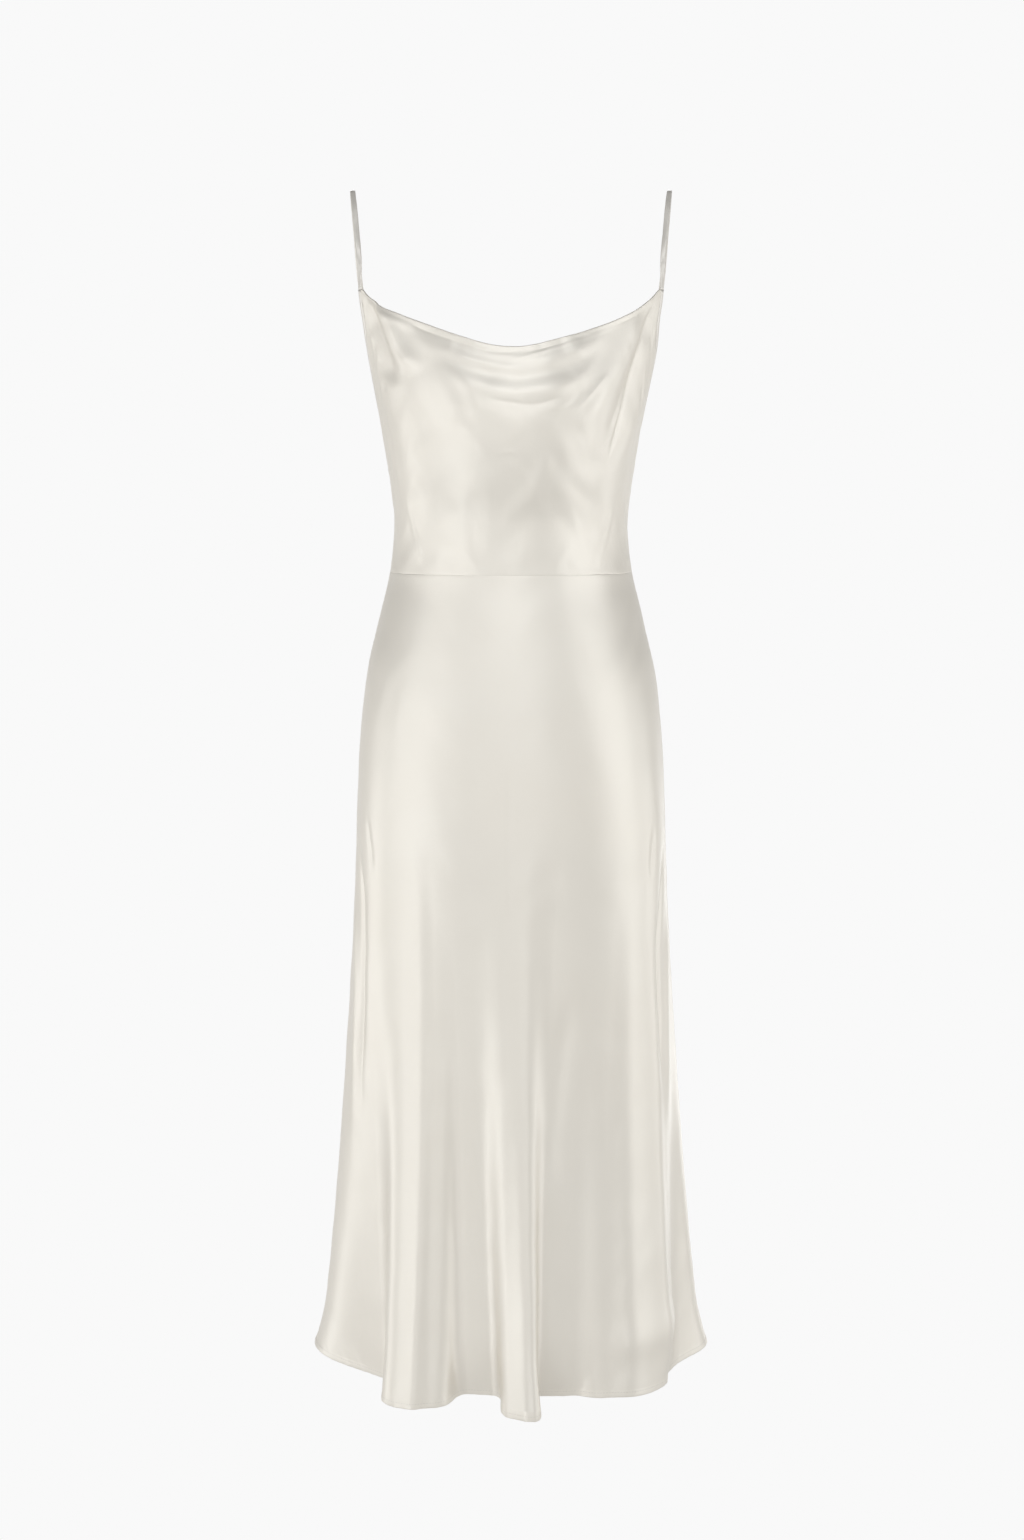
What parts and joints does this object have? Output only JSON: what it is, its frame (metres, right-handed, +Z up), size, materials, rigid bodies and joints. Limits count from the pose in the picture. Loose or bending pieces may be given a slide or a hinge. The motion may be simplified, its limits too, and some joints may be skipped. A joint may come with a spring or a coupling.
{
  "type": "slip dress",
  "caption": "Sleeveless midi slip dress in light satin with a cowl neck, thin shoulder straps, a waist seam, a low back and a softly flared hem, in its worn form.",
  "frame": {"origin": "midway between the undersides of the shoulder straps at the top of the shoulders, which is where the wearer holds the dress up", "axes": "+Z up along the wearer's body, the front of the dress faces -Y, and +X is the wearer's left"},
  "size_m": [0.436, 0.3707, 1.2704],
  "materials": {
    "ivory_satin": "ivory satin, glossy face, cut on the bias",
    "satin_trim": "the same satin in narrow straps and bindings"
  },
  "bodies": {
    "root": {"front_bodice": "ivory_satin", "back_bodice": "ivory_satin", "front_skirt": "ivory_satin", "back_skirt": "ivory_satin", "strap_left": "satin_trim", "strap_right": "satin_trim", "armhole_binding_left": "satin_trim", "armhole_binding_right": "satin_trim", "back_neck_binding": "satin_trim"}
  },
  "joints": []
}
